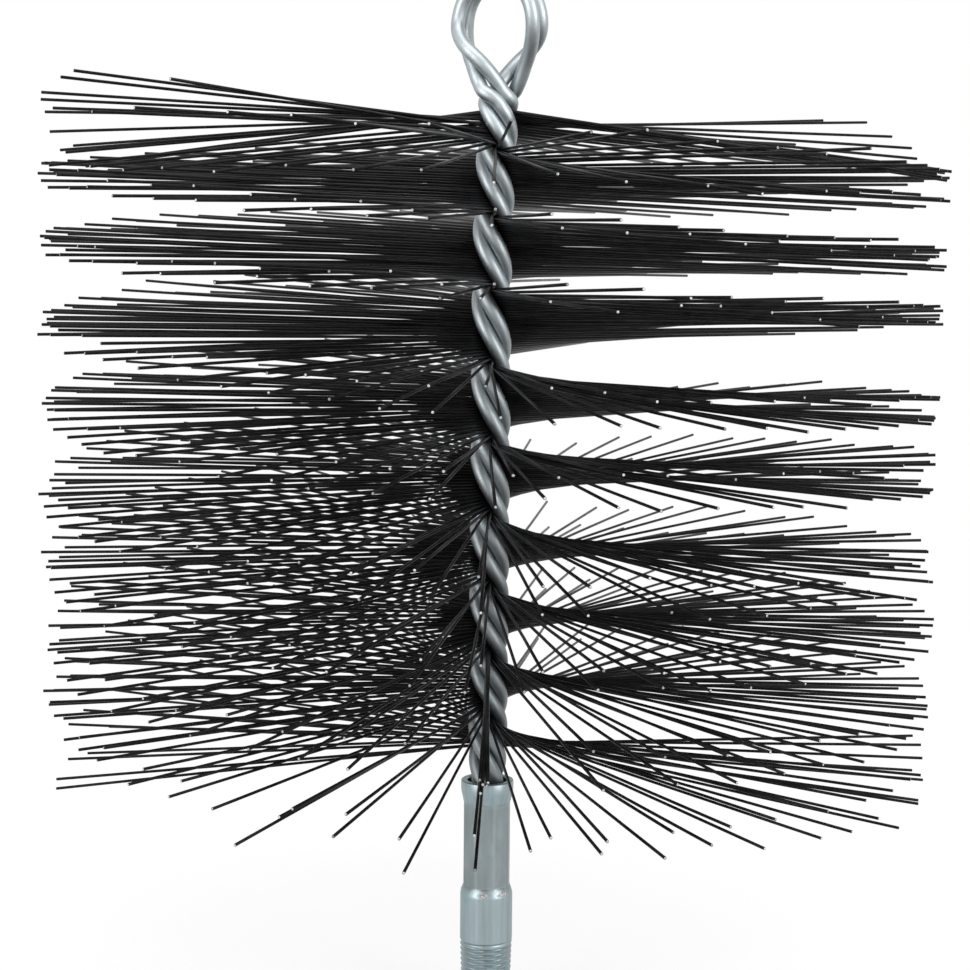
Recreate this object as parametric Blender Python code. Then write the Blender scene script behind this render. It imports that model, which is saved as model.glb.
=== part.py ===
"""Chimney sweep brush: two doubled core wires twisted round rows of steel bristles.

Each core wire is bent double. The two bends lie side by side as the eye at the top, and the
four legs are twisted into a left-handed stem that traps the bristles between its two pairs.
The stem's foot is crimped into a tubular ferrule whose lower end screws on to a rod.

Metres, +Z up. The origin is the centre of the ferrule's lower end, where the rod meets it.
"""

import math

import bmesh
import bpy
import numpy as np
from mathutils import Vector

# Running fits and the working overrun of all parts
CLEARANCE = 0.0003

# Core wires and their twist: the turns are counted along the bristled length
CORE_WIRE_DIAMETER = 0.0035
TWIST_TURNS = 4.543
TWIST_DRIFT = math.radians(19.2)
TWIST_DRIFT_CENTRE_SHARE = 0.54
FOOT_ANGLE = math.radians(-84.2)

# Bristles: straight wires through the stem, in rows of a quarter turn each
BRUSH_DIAMETER = 0.226
BRISTLED_LENGTH = 0.164
BRISTLE_LAYER = 0.0007
BRISTLE_BED_WIDTH = 0.0092
BRISTLE_SPACING = 0.0001
ROWS = 18
BRISTLE_PAIRS_PER_ROW = 10

# Leans of the bristles over the level, a knot for each quarter turn from the foot up: how far
# each end rises, and how far its two layers stand over and under that
BRISTLE_LEAN = math.radians(1)
FRONT_END_LEAN_SHARES = (
    -1.5, -1.0, -0.3, 0.0, -0.3, -0.5, -0.5, 1.3, 1.4, 0.9, -0.2, -0.5, 1.4, 1.9, 1.4, 0.4, -1.0, -1.7, 0.5
)
BACK_END_LEAN_SHARES = (
    -2.0, -0.5, -0.7, -1.9, -0.8, 0.3, -0.6, -1.2, -0.8, 0.0, -0.2, -0.4, 1.0, 0.3, -1.1, 0.0, 0.9, 1.8, -0.5
)
FRONT_END_SPLIT_SHARES = (
    2.5, 1.2, 1.3, 1.5, 1.5, 1.3, 1.5, 1.7, 1.9, 1.6, 1.2, 1.6, 1.2, 1.2, 1.2, 1.2, 1.5, 2.5, 3.2
)
BACK_END_SPLIT_SHARES = (
    2.5, 1.5, 1.5, 1.6, 1.5, 1.5, 1.6, 1.7, 1.5, 1.5, 1.4, 1.6, 1.2, 1.2, 1.2, 1.2, 1.2, 1.3, 2.5
)

# Eye at the top, and the bend that leads the stem over to it
EYE_OPENING = 0.0203
EYE_SHOULDER_RADIUS = 0.0142
EYE_OFFSET = 0.0013
BEND_RUN = 0.050
BEND_RISE = 0.008

# Twist under the eye: a little tighter over the last bristles, then eased to a stop
EYE_GAIN = math.radians(12)
EYE_GAIN_RUN = 0.020
EYE_GAIN_RISE = 0.002
EYE_TWIST_RUN = 0.018
EYE_TWIST_EASE = 0.003

# Crossing under the eye, up from the last bristles: the four legs close up, the left two pass
# before the right two, and both pairs swing out and turn into the plane of the eye
PARTING_RISE = 0.0015
BUNDLE_RISE = 0.0030
CROSSING_RISE = 0.0072
CROSSING_END_RISE = 0.0094
EYE_SIDE_RISE = 0.0158
TOP_SPREAD_SHARE = 1.06
BUNDLE_SHARE = 1.26
CLOSED_SHARE = 1.5
CROSSING_SHARE = 1.2
SHOULDER_SWELL = 0.0006
PASSING_LEAD = math.radians(50)
PASSING_LEAD_START = 0.0010
PASSING_LEAD_RUN = 0.0035
PASSING_LEAD_EASE = 0.0115

# Ferrule, from its lower end upwards
THREAD_LENGTH = 0.015
THREAD_PITCH = 0.00141
THREAD_DEPTH = 0.0006
THREAD_RUNOUT = 0.0045
THREAD_TAPER = 1 / 16
THREAD_CHAMFER = 0.0009
THREAD_CHAMFER_SHARE = 0.6
BARREL_LENGTH = 0.0133
SHOULDER_LENGTH = 0.0031
NECK_LENGTH = 0.0211
FLARE_LENGTH = 0.0045
RIM_LENGTH = 0.0020
RIM_ROUND = 0.0003
MOUTH_DEPTH = 0.0040
SOCKET_DEPTH = 0.0360
STEM_EXPOSED = 0.0090

# Ferrule, outwards and inwards from the socket that holds the stem
BARREL_WALL = 0.0019
NECK_FLAT_WALL = 0.0010
NECK_RIDGE_WALL = 0.0012
MOUTH_FLARE = 0.0002
SOCKET_LEDGE = 0.0003

# Flats that the crimping jaws pressed round the neck, and the way that the foremost one faces
CRIMP_FLATS = 8
CRIMP_TURN = math.radians(-96)

# Facets
WIRE_STEPS_PER_TURN = 12
WIRE_SIDE_STEPS = 2
EYE_STEPS = 30
PARTING_STEPS = 2
SHOULDER_STEPS = 12
FERRULE_SIDES = 48

# Search steps for the tightest pass between two twisted wires
SEARCH_STEPS = 361
SHEET_STEPS = 37
HALVINGS = 40

FERRULE_LENGTH = (
    THREAD_LENGTH + BARREL_LENGTH + SHOULDER_LENGTH + NECK_LENGTH + FLARE_LENGTH + RIM_LENGTH
)
CORE_RADIUS = CORE_WIRE_DIAMETER / 2
BRUSH_RADIUS = BRUSH_DIAMETER / 2
BRISTLES_FOOT = FERRULE_LENGTH + STEM_EXPOSED
BRISTLES_TOP = BRISTLES_FOOT + BRISTLED_LENGTH
PARTING = BRISTLES_TOP + PARTING_RISE
EYE_RADIUS = EYE_OPENING / 2 + CORE_RADIUS
TWIST_PITCH = BRISTLED_LENGTH / TWIST_TURNS
TIGHTEST_PITCH = 1 / (1 / TWIST_PITCH + TWIST_DRIFT / BRISTLED_LENGTH)


def smooth_step(share):
    """Ease from 0 to 1 as the share goes from 0 to 1."""
    held = min(max(share, 0), 1)
    return held * held * (3 - 2 * held)


def blend(low, high, share):
    """Value between two sizes, eased at both ends."""
    return low + (high - low) * smooth_step(share)


def twist_turned(height):
    """Angle that the twist has turned at a height, looser near the middle of the brush."""
    centre = BRISTLES_FOOT + TWIST_DRIFT_CENTRE_SHARE * BRISTLED_LENGTH
    drift = TWIST_DRIFT * math.sin(math.tau * (height - centre) / BRISTLED_LENGTH)
    return math.tau * height / TWIST_PITCH - drift


def pair_angle(height):
    """Direction of the front wire's legs at a height. It stops turning at the eye."""
    gained = EYE_GAIN * smooth_step((height - BRISTLES_TOP - EYE_GAIN_RISE) / EYE_GAIN_RUN + 1)
    stop = BRISTLES_TOP + EYE_TWIST_RUN
    past = height - stop + EYE_TWIST_EASE
    if past > 2 * EYE_TWIST_EASE:
        height = stop
    elif past > 0:
        height -= past * past / (4 * EYE_TWIST_EASE)
    return FOOT_ANGLE - twist_turned(height) + twist_turned(BRISTLES_FOOT) - gained


def bend(height):
    """Sideways offset of the stem's axis at a height."""
    start = BRISTLES_TOP + BEND_RISE - BEND_RUN
    return Vector((blend(0, EYE_OFFSET, (height - start) / BEND_RUN), 0, 0))


def across(angle):
    """Unit direction from the axis to the right-hand pair."""
    return Vector((math.cos(angle), math.sin(angle), 0))


def along_bristles(angle):
    """Unit direction of the bristles, square to the line between the pairs."""
    return Vector((-math.sin(angle), math.cos(angle), 0))


def section_spot(pair_half):
    """Where a wire of a twisted pair cuts a level section, from the pair's distance off axis."""
    lay = math.atan(math.tau * pair_half / TIGHTEST_PITCH)
    beside = TWIN_HALF * math.cos(lay)
    turned = math.tau * TWIN_HALF * math.sin(lay) / TIGHTEST_PITCH
    turned += math.atan2(beside, pair_half)
    reach = math.hypot(pair_half, beside)
    return reach * math.cos(turned), reach * math.sin(turned)


def tightest_pass(from_spot, to_spot):
    """Least distance from a twisted line at one spot of the section to the line at another."""
    heights = np.linspace(-TIGHTEST_PITCH / 2, TIGHTEST_PITCH / 2, SEARCH_STEPS)
    turned = -math.tau * heights / TIGHTEST_PITCH
    x = to_spot[0] * np.cos(turned) - to_spot[1] * np.sin(turned) - from_spot[0]
    y = to_spot[0] * np.sin(turned) + to_spot[1] * np.cos(turned) - from_spot[1]
    return float(np.sqrt(x * x + y * y + heights * heights).min())


def pass_to_pair(pair_half):
    """Least distance between the middles of two wires that face each other across the axis."""
    spot = section_spot(pair_half)
    return tightest_pass(spot, (-spot[0], spot[1]))


def pass_to_bristles(pair_half):
    """Least distance from the middle of a wire to the middle sheet of the bristles."""
    spot = section_spot(pair_half)
    reach = np.linspace(0, BRISTLE_BED_WIDTH / 2, SHEET_STEPS)
    return min(tightest_pass(spot, (0, out)) for out in reach)


def widen_until(distance, needed):
    """Least distance of a pair from the axis at which the given pass is as wide as needed."""
    low, high = 0, 2 * CORE_WIRE_DIAMETER
    for _ in range(HALVINGS):
        middle = (low + high) / 2
        if distance(middle) < needed:
            low = middle
        else:
            high = middle
    return high


TWIN_HALF = CORE_RADIUS + CLEARANCE / 2
BARE_HALF = widen_until(pass_to_pair, CORE_WIRE_DIAMETER + CLEARANCE)
PAIR_HALF = widen_until(pass_to_bristles, CORE_RADIUS + CLEARANCE + BRISTLE_LAYER / 2)
BARE_SPOT = section_spot(BARE_HALF)
BRISTLED_SPOT = section_spot(PAIR_HALF)
BARE_STEM_RADIUS = math.hypot(*BARE_SPOT) + CORE_RADIUS
BUNDLE_HALF = TWIN_HALF * BUNDLE_SHARE
EYE_REACH = EYE_RADIUS + EYE_SHOULDER_RADIUS
EYE_DROP = math.sqrt(EYE_REACH**2 - (BUNDLE_HALF + EYE_SHOULDER_RADIUS) ** 2)
EYE_SWING = math.asin(EYE_DROP / EYE_REACH)
EYE_HEIGHT = PARTING + EYE_DROP
SOCKET_RADIUS = BARE_STEM_RADIUS + CLEARANCE
BORE_RADIUS = SOCKET_RADIUS - SOCKET_LEDGE
BARREL_RADIUS = SOCKET_RADIUS + BARREL_WALL
SOCKET_FLOOR = FERRULE_LENGTH - SOCKET_DEPTH
LEG_FOOT = SOCKET_FLOOR + CLEARANCE + TWIN_HALF


def make_material(name, colour, roughness, metallic):
    """Plain surface finish of one kind of piece."""
    material = bpy.data.materials.new(name)
    material.use_nodes = True
    shader = material.node_tree.nodes["Principled BSDF"]
    shader.inputs["Base Color"].default_value = (*colour, 1)
    shader.inputs["Roughness"].default_value = roughness
    shader.inputs["Metallic"].default_value = metallic
    return material


def add_object(name, data, material):
    """Put one named piece into the scene."""
    piece = bpy.data.objects.new(name, data)
    data.materials.append(material)
    bpy.context.scene.collection.objects.link(piece)
    return piece


def eased(height, knots):
    """Value at a height, eased from each knot (a height and a value) to the next."""
    value = knots[0][1]
    for (low, before), (high, after) in zip(knots, knots[1:]):
        if height > low:
            value = blend(before, after, (height - low) / (high - low))
    return value


def half_between_wires(height):
    """Half the distance between the front wire's legs and the back wire's."""
    return eased(
        height,
        (
            (FERRULE_LENGTH, BARE_SPOT[0]),
            (BRISTLES_FOOT, BRISTLED_SPOT[0]),
            (BRISTLES_TOP - EYE_GAIN_RUN, BRISTLED_SPOT[0]),
            (BRISTLES_TOP - EYE_GAIN_RUN / 2, BRISTLED_SPOT[0] * TOP_SPREAD_SHARE),
            (BRISTLES_TOP, BRISTLED_SPOT[0] * TOP_SPREAD_SHARE),
            (BRISTLES_TOP + BUNDLE_RISE, TWIN_HALF * CLOSED_SHARE),
            (BRISTLES_TOP + CROSSING_RISE, TWIN_HALF * CROSSING_SHARE),
            (BRISTLES_TOP + CROSSING_END_RISE, TWIN_HALF * CROSSING_SHARE),
            (BRISTLES_TOP + EYE_SIDE_RISE, TWIN_HALF),
        ),
    )


def half_between_legs(height):
    """Half the level distance between the two legs of a wire, up to where they part."""
    return eased(
        height,
        (
            (FERRULE_LENGTH, BARE_SPOT[1]),
            (BRISTLES_FOOT, BRISTLED_SPOT[1]),
            (BRISTLES_TOP - EYE_GAIN_RUN, BRISTLED_SPOT[1]),
            (BRISTLES_TOP - EYE_GAIN_RUN / 2, BRISTLED_SPOT[1] * TOP_SPREAD_SHARE),
            (BRISTLES_TOP, BRISTLED_SPOT[1] * TOP_SPREAD_SHARE),
            (PARTING, BUNDLE_HALF),
        ),
    )


def passing_lead(height):
    """Angle by which the parting legs run ahead of the twist while they pass each other."""
    start = BRISTLES_TOP + PASSING_LEAD_START
    peak = start + PASSING_LEAD_RUN
    return eased(height, ((start, 0), (peak, PASSING_LEAD), (peak + PASSING_LEAD_EASE, 0)))


def middle_point(height, reach):
    """Middle between the two wires, at a reach to the right of the stem's axis."""
    point = reach * along_bristles(pair_angle(height) - passing_lead(height)) + bend(height)
    point.z = height
    return point


def leg_route(leg):
    """Middle of the two legs on one side, from their feet to where the sides part."""
    length = BRISTLES_TOP - LEG_FOOT
    steps = math.ceil(length / TWIST_PITCH * WIRE_STEPS_PER_TURN)
    heights = [LEG_FOOT + length * step / steps for step in range(steps)]
    for step in range(PARTING_STEPS + 1):
        heights.append(BRISTLES_TOP + PARTING_RISE * step / PARTING_STEPS)
    return [middle_point(height, leg * half_between_legs(height)) for height in heights]


def shoulder_route(leg):
    """Middle of the two legs on one side where they swing out to meet the round of the eye."""
    points = []
    for step in range(1, SHOULDER_STEPS):
        turned = EYE_SWING * step / SHOULDER_STEPS
        reach = BUNDLE_HALF + EYE_SHOULDER_RADIUS * (1 - math.cos(turned))
        reach += SHOULDER_SWELL * math.sin(math.pi * step / SHOULDER_STEPS) ** 2
        height = PARTING + EYE_SHOULDER_RADIUS * math.sin(turned)
        points.append(middle_point(height, leg * reach))
    return points


def eye_route():
    """Middle of the two wires round the eye, from the left shoulder over the top to the right."""
    points = []
    for step in range(EYE_STEPS + 1):
        turned = math.pi + EYE_SWING - (math.pi + 2 * EYE_SWING) * step / EYE_STEPS
        height = EYE_HEIGHT + EYE_RADIUS * math.sin(turned)
        points.append(middle_point(height, EYE_RADIUS * math.cos(turned)))
    return points


def wire_route(wire):
    """One wire's middle: 1 in front or -1 behind, level in the stem and square to its run above."""
    middles = leg_route(-1) + shoulder_route(-1) + eye_route()
    middles += list(reversed(leg_route(1) + shoulder_route(1)))
    squared_from = BRISTLES_TOP + BUNDLE_RISE
    points = []
    for index, middle in enumerate(middles):
        run = middles[min(index + 1, len(middles) - 1)] - middles[max(index - 1, 0)]
        run.normalize()
        beside = across(pair_angle(middle.z))
        squared = smooth_step((middle.z - squared_from) / (CROSSING_RISE - BUNDLE_RISE))
        beside -= squared * beside.dot(run) * run
        points.append(middle + wire * half_between_wires(middle.z) * beside.normalized())
    return points


def make_stem_wire(name, wire, material):
    """One core wire bent double: up the left leg, round the eye and down the right leg."""
    route = wire_route(wire)
    curve = bpy.data.curves.new(name, "CURVE")
    curve.dimensions = "3D"
    curve.bevel_depth = CORE_RADIUS
    curve.bevel_resolution = WIRE_SIDE_STEPS
    curve.use_fill_caps = True
    spline = curve.splines.new("POLY")
    spline.points.add(len(route) - 1)
    for spot, point in zip(spline.points, route):
        spot.co = (*point, 1)
    return add_object(name, curve, material)


def bed_point(height, end, face):
    """Point on the bed of trapped bristles: end -1 or 1 along them, face -1 or 1 across it."""
    angle = pair_angle(height)
    point = end * BRISTLE_BED_WIDTH / 2 * along_bristles(angle)
    point += face * BRISTLE_LAYER / 2 * across(angle) + bend(height)
    point.z = height
    return point


def bed_edge(mesh, top, pitch, end):
    """One edge of the bed: the vertices of its two borders, and a root face for each bristle.

    The bristles lie in two layers, left and right, so their roots are triangles that point
    across the edge by turns, with a narrow flat strip between each root and the next.
    """
    half = pitch - BRISTLE_SPACING
    left, right, roots, flats = [], [], [], []
    right.append(mesh.verts.new(bed_point(top, end, 1)))
    for pair in range(BRISTLE_PAIRS_PER_ROW):
        middle = top - half - 2 * pitch * pair
        for height in (middle + half, middle - half, middle - pitch):
            left.append(mesh.verts.new(bed_point(height, end, -1)))
        for height in (middle, middle - pitch + half, middle - pitch - half):
            right.append(mesh.verts.new(bed_point(height, end, 1)))
        roots.append(((left[-3], right[-3], left[-2]), -1))
        roots.append(((left[-1], right[-2], right[-1]), 1))
        flats.append((left[-2], right[-3], right[-2], left[-1]))
        if pair:
            flats.append((left[-4], right[-4], right[-3], left[-3]))
    left.append(mesh.verts.new(bed_point(middle - pitch - half, end, -1)))
    flats.append((left[0], right[0], right[1]))
    flats.append((left[-2], right[-1], left[-1]))
    for corners in flats:
        mesh.faces.new(corners if end > 0 else corners[::-1])
    faces = []
    for corners, layer in roots:
        faces.append((mesh.faces.new(corners if end > 0 else corners[::-1]), layer))
    return left, right, faces


def bristle_lean(angle, end, layer):
    """Rise of a bristle over the level, from the angle that the twist has reached at its root."""
    leans = FRONT_END_LEAN_SHARES if end > 0 else BACK_END_LEAN_SHARES
    splits = FRONT_END_SPLIT_SHARES if end > 0 else BACK_END_SPLIT_SHARES
    quarters = (FOOT_ANGLE - angle) / (math.pi / 2)
    knots = range(len(leans))
    share = np.interp(quarters, knots, leans) - end * layer * np.interp(quarters, knots, splits)
    return float(share) * BRISTLE_LEAN


def draw_bristle(mesh, root, end, layer):
    """Extrude one root face into a straight three-sided bristle, cut off at the brush's radius.

    The two layers lean to either side of their end's lean, so their tips stand in two rows.
    """
    centre = root.calc_center_median()
    angle = pair_angle(centre.z)
    lean = bristle_lean(angle, end, layer)
    axis = bend(centre.z)
    tip = axis + end * BRUSH_RADIUS * math.cos(lean) * along_bristles(angle)
    tip += (centre - axis).dot(across(angle)) * across(angle)
    tip.z = centre.z + BRUSH_RADIUS * math.sin(lean)
    drawn = bmesh.ops.extrude_discrete_faces(mesh, faces=[root])["faces"][0]
    for corner in drawn.verts:
        corner.co += tip - centre


def make_bristle_row(name, top, bottom, material):
    """Slice of the trapped bed with its bristles drawn out of both edges, as one body."""
    mesh = bmesh.new()
    pitch = (top - bottom + 2 * BRISTLE_SPACING) / (2 * BRISTLE_PAIRS_PER_ROW + 1)
    near_left, near_right, near_roots = bed_edge(mesh, top, pitch, -1)
    far_left, far_right, far_roots = bed_edge(mesh, top, pitch, 1)
    for near, far in ((near_left, far_left), (far_right, near_right)):
        for step in range(len(near) - 1):
            mesh.faces.new((near[step], far[step], near[step + 1]))
            mesh.faces.new((near[step + 1], far[step], far[step + 1]))
    mesh.faces.new((near_left[0], near_right[0], far_right[0], far_left[0]))
    mesh.faces.new((near_right[-1], near_left[-1], far_left[-1], far_right[-1]))
    for end, roots in ((-1, near_roots), (1, far_roots)):
        for root, layer in roots:
            draw_bristle(mesh, root, end, layer)
    mesh.normal_update()
    data = bpy.data.meshes.new(name)
    mesh.to_mesh(data)
    mesh.free()
    return add_object(name, data, material)


def crimp_radius(angle):
    """Radius of the crimped neck: flats all round, with a ridge left between each two."""
    sector = math.tau / CRIMP_FLATS
    from_flat = (angle - CRIMP_TURN + sector / 2) % sector - sector / 2
    flats = SOCKET_RADIUS + NECK_FLAT_WALL
    return min(flats / math.cos(from_flat), SOCKET_RADIUS + NECK_RIDGE_WALL)


def side_angle(side):
    """Direction of one of the ferrule's sides, counted from the foremost flat."""
    return CRIMP_TURN + math.tau * side / FERRULE_SIDES


def add_ring(mesh, height, radius):
    """One ring of the ferrule's wall. Without a radius it follows the crimped neck."""
    ring = []
    for side in range(FERRULE_SIDES):
        angle = side_angle(side)
        reach = crimp_radius(angle) if radius is None else radius
        ring.append(mesh.verts.new((reach * math.cos(angle), reach * math.sin(angle), height)))
    return ring


def join_rings(mesh, lower, upper):
    """Band of faces between two rings."""
    for side in range(FERRULE_SIDES):
        beside = (side + 1) % FERRULE_SIDES
        mesh.faces.new((lower[side], lower[beside], upper[beside], upper[side]))


def thread_crest(height):
    """Radius of the tapered thread's crest."""
    return BARREL_RADIUS - THREAD_TAPER * (THREAD_LENGTH - height) / 2


def cut_thread(mesh, lower, upper):
    """Right-handed thread between two rings: helical rows of vertices, crest and root by turns.

    A row that reaches a ring goes on along it, and a full turn joins each row to the second
    row over it. The grooves fade out towards the upper ring.
    """
    start = lower[0].co.z
    least_step = THREAD_PITCH / FERRULE_SIDES / 2
    made = {}

    def thread_vertex(row, side):
        """Vertex of a row, or of the ring that ends the thread there."""
        if side == FERRULE_SIDES:
            return thread_vertex(row + 2, 0)
        height = (row / 2 + side / FERRULE_SIDES) * THREAD_PITCH
        if height < start + least_step:
            return lower[side]
        if height > THREAD_LENGTH - least_step:
            return upper[side]
        if (row, side) not in made:
            radius = thread_crest(height)
            if row % 2:
                radius -= THREAD_DEPTH * smooth_step((THREAD_LENGTH - height) / THREAD_RUNOUT)
            angle = side_angle(side)
            made[row, side] = mesh.verts.new((radius * math.cos(angle), radius * math.sin(angle), height))
        return made[row, side]

    for row in range(-2, math.ceil(2 * THREAD_LENGTH / THREAD_PITCH)):
        for side in range(FERRULE_SIDES):
            corners = (
                thread_vertex(row, side),
                thread_vertex(row, side + 1),
                thread_vertex(row + 1, side + 1),
                thread_vertex(row + 1, side),
            )
            distinct = list(dict.fromkeys(corners))
            if len(distinct) > 2:
                mesh.faces.new(distinct)


def make_ferrule(name, material):
    """Tube with a tapered screw end, a plain barrel, a crimped neck and a flared mouth."""
    shoulder = THREAD_LENGTH + BARREL_LENGTH
    neck = shoulder + SHOULDER_LENGTH
    flare = neck + NECK_LENGTH
    chamfer = min(THREAD_CHAMFER, (thread_crest(0) - BORE_RADIUS) * THREAD_CHAMFER_SHARE)
    mesh = bmesh.new()
    end = add_ring(mesh, 0, thread_crest(0) - chamfer)
    thread_start = add_ring(mesh, chamfer, thread_crest(chamfer))
    rings = [
        add_ring(mesh, THREAD_LENGTH, BARREL_RADIUS),
        add_ring(mesh, shoulder, BARREL_RADIUS),
        add_ring(mesh, neck, None),
        add_ring(mesh, flare, None),
        add_ring(mesh, flare + FLARE_LENGTH, BARREL_RADIUS),
        add_ring(mesh, FERRULE_LENGTH - RIM_ROUND, BARREL_RADIUS),
        add_ring(mesh, FERRULE_LENGTH, BARREL_RADIUS - RIM_ROUND),
        add_ring(mesh, FERRULE_LENGTH, SOCKET_RADIUS + MOUTH_FLARE),
        add_ring(mesh, FERRULE_LENGTH - MOUTH_DEPTH, SOCKET_RADIUS),
        add_ring(mesh, SOCKET_FLOOR, SOCKET_RADIUS),
        add_ring(mesh, SOCKET_FLOOR, BORE_RADIUS),
        add_ring(mesh, 0, BORE_RADIUS),
        end,
        thread_start,
    ]
    for lower, upper in zip(rings, rings[1:]):
        join_rings(mesh, lower, upper)
    cut_thread(mesh, thread_start, rings[0])
    mesh.normal_update()
    data = bpy.data.meshes.new(name)
    mesh.to_mesh(data)
    mesh.free()
    data.shade_smooth()
    data.set_sharp_from_angle(angle=math.tau / CRIMP_FLATS / 2)
    return add_object(name, data, material)


def clear_scene():
    """Remove whatever the scene holds."""
    for piece in list(bpy.data.objects):
        bpy.data.objects.remove(piece, do_unlink=True)


def main():
    """Build the ferrule, the two core wires and the rows of bristles."""
    clear_scene()
    zinc = make_material("zinc_plated_steel", (0.46, 0.52, 0.53), 0.35, 0.9)
    galvanised = make_material("galvanised_wire", (0.42, 0.44, 0.45), 0.3, 1.0)
    black = make_material("black_spring_steel", (0.03, 0.03, 0.035), 0.4, 0.8)
    make_ferrule("threaded_ferrule", zinc)
    make_stem_wire("stem_wire_front", 1, galvanised)
    make_stem_wire("stem_wire_back", -1, galvanised)
    row_length = BRISTLED_LENGTH / ROWS
    for row in range(ROWS):
        bottom = BRISTLES_FOOT + row * row_length + CLEARANCE / 2
        top = BRISTLES_FOOT + (row + 1) * row_length - CLEARANCE / 2
        make_bristle_row(f"bristle_row_{row + 1:02d}", top, bottom, black)


main()
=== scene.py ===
"""Looks of a chimney sweep brush: core wires with an eye, steel bristles, threaded ferrule.

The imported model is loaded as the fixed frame. Every piece here is dressed on it: the two core
wires, the rows of bristles and the ferrule with its crimp marks and its tapered thread.
Lengths are in metres and angles in radians unless a name says otherwise, with +Z up.
"""

import logging
import math
import random
from dataclasses import dataclass, field
from enum import Enum
from typing import Callable, Sequence

import bmesh
import bpy
import numpy as np
from mathutils import Matrix, Vector

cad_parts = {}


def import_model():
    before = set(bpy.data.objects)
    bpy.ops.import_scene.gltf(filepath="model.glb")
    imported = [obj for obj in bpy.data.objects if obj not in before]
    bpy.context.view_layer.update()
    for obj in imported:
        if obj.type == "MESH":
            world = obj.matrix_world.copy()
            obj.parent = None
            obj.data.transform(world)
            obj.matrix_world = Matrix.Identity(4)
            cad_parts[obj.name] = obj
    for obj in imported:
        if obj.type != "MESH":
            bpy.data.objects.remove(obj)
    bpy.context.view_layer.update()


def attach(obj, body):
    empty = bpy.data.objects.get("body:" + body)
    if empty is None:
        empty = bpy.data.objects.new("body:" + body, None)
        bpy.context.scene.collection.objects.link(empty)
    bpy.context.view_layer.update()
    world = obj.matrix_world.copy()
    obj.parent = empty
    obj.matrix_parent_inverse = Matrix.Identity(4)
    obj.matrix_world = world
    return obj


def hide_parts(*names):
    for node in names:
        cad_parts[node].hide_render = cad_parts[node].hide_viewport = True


LOG = logging.getLogger("brush")
MM = 0.001
BODY = "root"
SMOOTH_BELOW = math.radians(50)
Colour = tuple[float, float, float]
Point = tuple[float, float, float]


class Slot(Enum):
    """Material slots that the pieces' finishes belong to."""

    ZINC = "zinc_plated_steel"
    WIRE = "galvanised_wire"
    BRISTLE = "black_spring_steel"


def ease(share: float) -> float:
    """Ease from 0 to 1 as the share goes from 0 to 1."""
    held = min(max(share, 0.0), 1.0)
    return held * held * (3 - 2 * held)


def blend(low: float, high: float, share: float) -> float:
    """Value between two sizes, eased at both ends."""
    return low + (high - low) * ease(share)


def eased(height: float, knots: Sequence[tuple[float, float]]) -> float:
    """Value at a height, eased from each knot to the next.

    Args:
        height: Where the value is wanted.
        knots: Heights with their values, upwards.

    Returns:
        The value there.
    """
    value = knots[0][1]
    for (low, before), (high, after) in zip(knots, knots[1:]):
        if height > low:
            value = blend(before, after, (height - low) / (high - low))
    return value


def heading(angle: float) -> Vector:
    """Level unit vector at an angle."""
    return Vector((math.cos(angle), math.sin(angle), 0))


def round_point(radius: float, angle: float, height: float) -> Point:
    """Place at a radius, an angle and a height about the upright axis."""
    return radius * math.cos(angle), radius * math.sin(angle), height


def deselect_all() -> None:
    """Leave object mode with nothing selected."""
    if bpy.context.object and bpy.context.object.mode != "OBJECT":
        bpy.ops.object.mode_set(mode="OBJECT")
    bpy.ops.object.select_all(action="DESELECT")


def make_active(piece: bpy.types.Object) -> None:
    """Select one object alone and make it the active one.

    Args:
        piece: The object that the next operators act on.
    """
    deselect_all()
    piece.select_set(True)
    bpy.context.view_layer.objects.active = piece


class Value:
    """One output of a shader node, with arithmetic that adds Math nodes."""

    def __init__(self, shader: "Shader", socket: bpy.types.NodeSocket) -> None:
        """Keep the output and the shader that it belongs to."""
        self.shader = shader
        self.socket = socket

    def _math(self, operation: str, *terms: "Value | float") -> "Value":
        """Add one Math node whose inputs are the terms."""
        return self.shader.node("ShaderNodeMath", {"operation": operation}, dict(enumerate(terms)))

    def __add__(self, other: "Value | float") -> "Value":
        """Sum of two values."""
        return self._math("ADD", self, other)

    def __rsub__(self, other: float) -> "Value":
        """A number less this value."""
        return self._math("SUBTRACT", other, self)

    def __mul__(self, other: "Value | float") -> "Value":
        """Product of two values."""
        return self._math("MULTIPLY", self, other)

    __radd__ = __add__
    __rmul__ = __mul__

    def ramp(self, low: float, high: float) -> "Value":
        """0 below low and 1 above high, eased between them."""
        settings = {"interpolation_type": "SMOOTHSTEP"}
        return self.shader.node("ShaderNodeMapRange", settings, {0: self, 1: low, 2: high})


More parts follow.
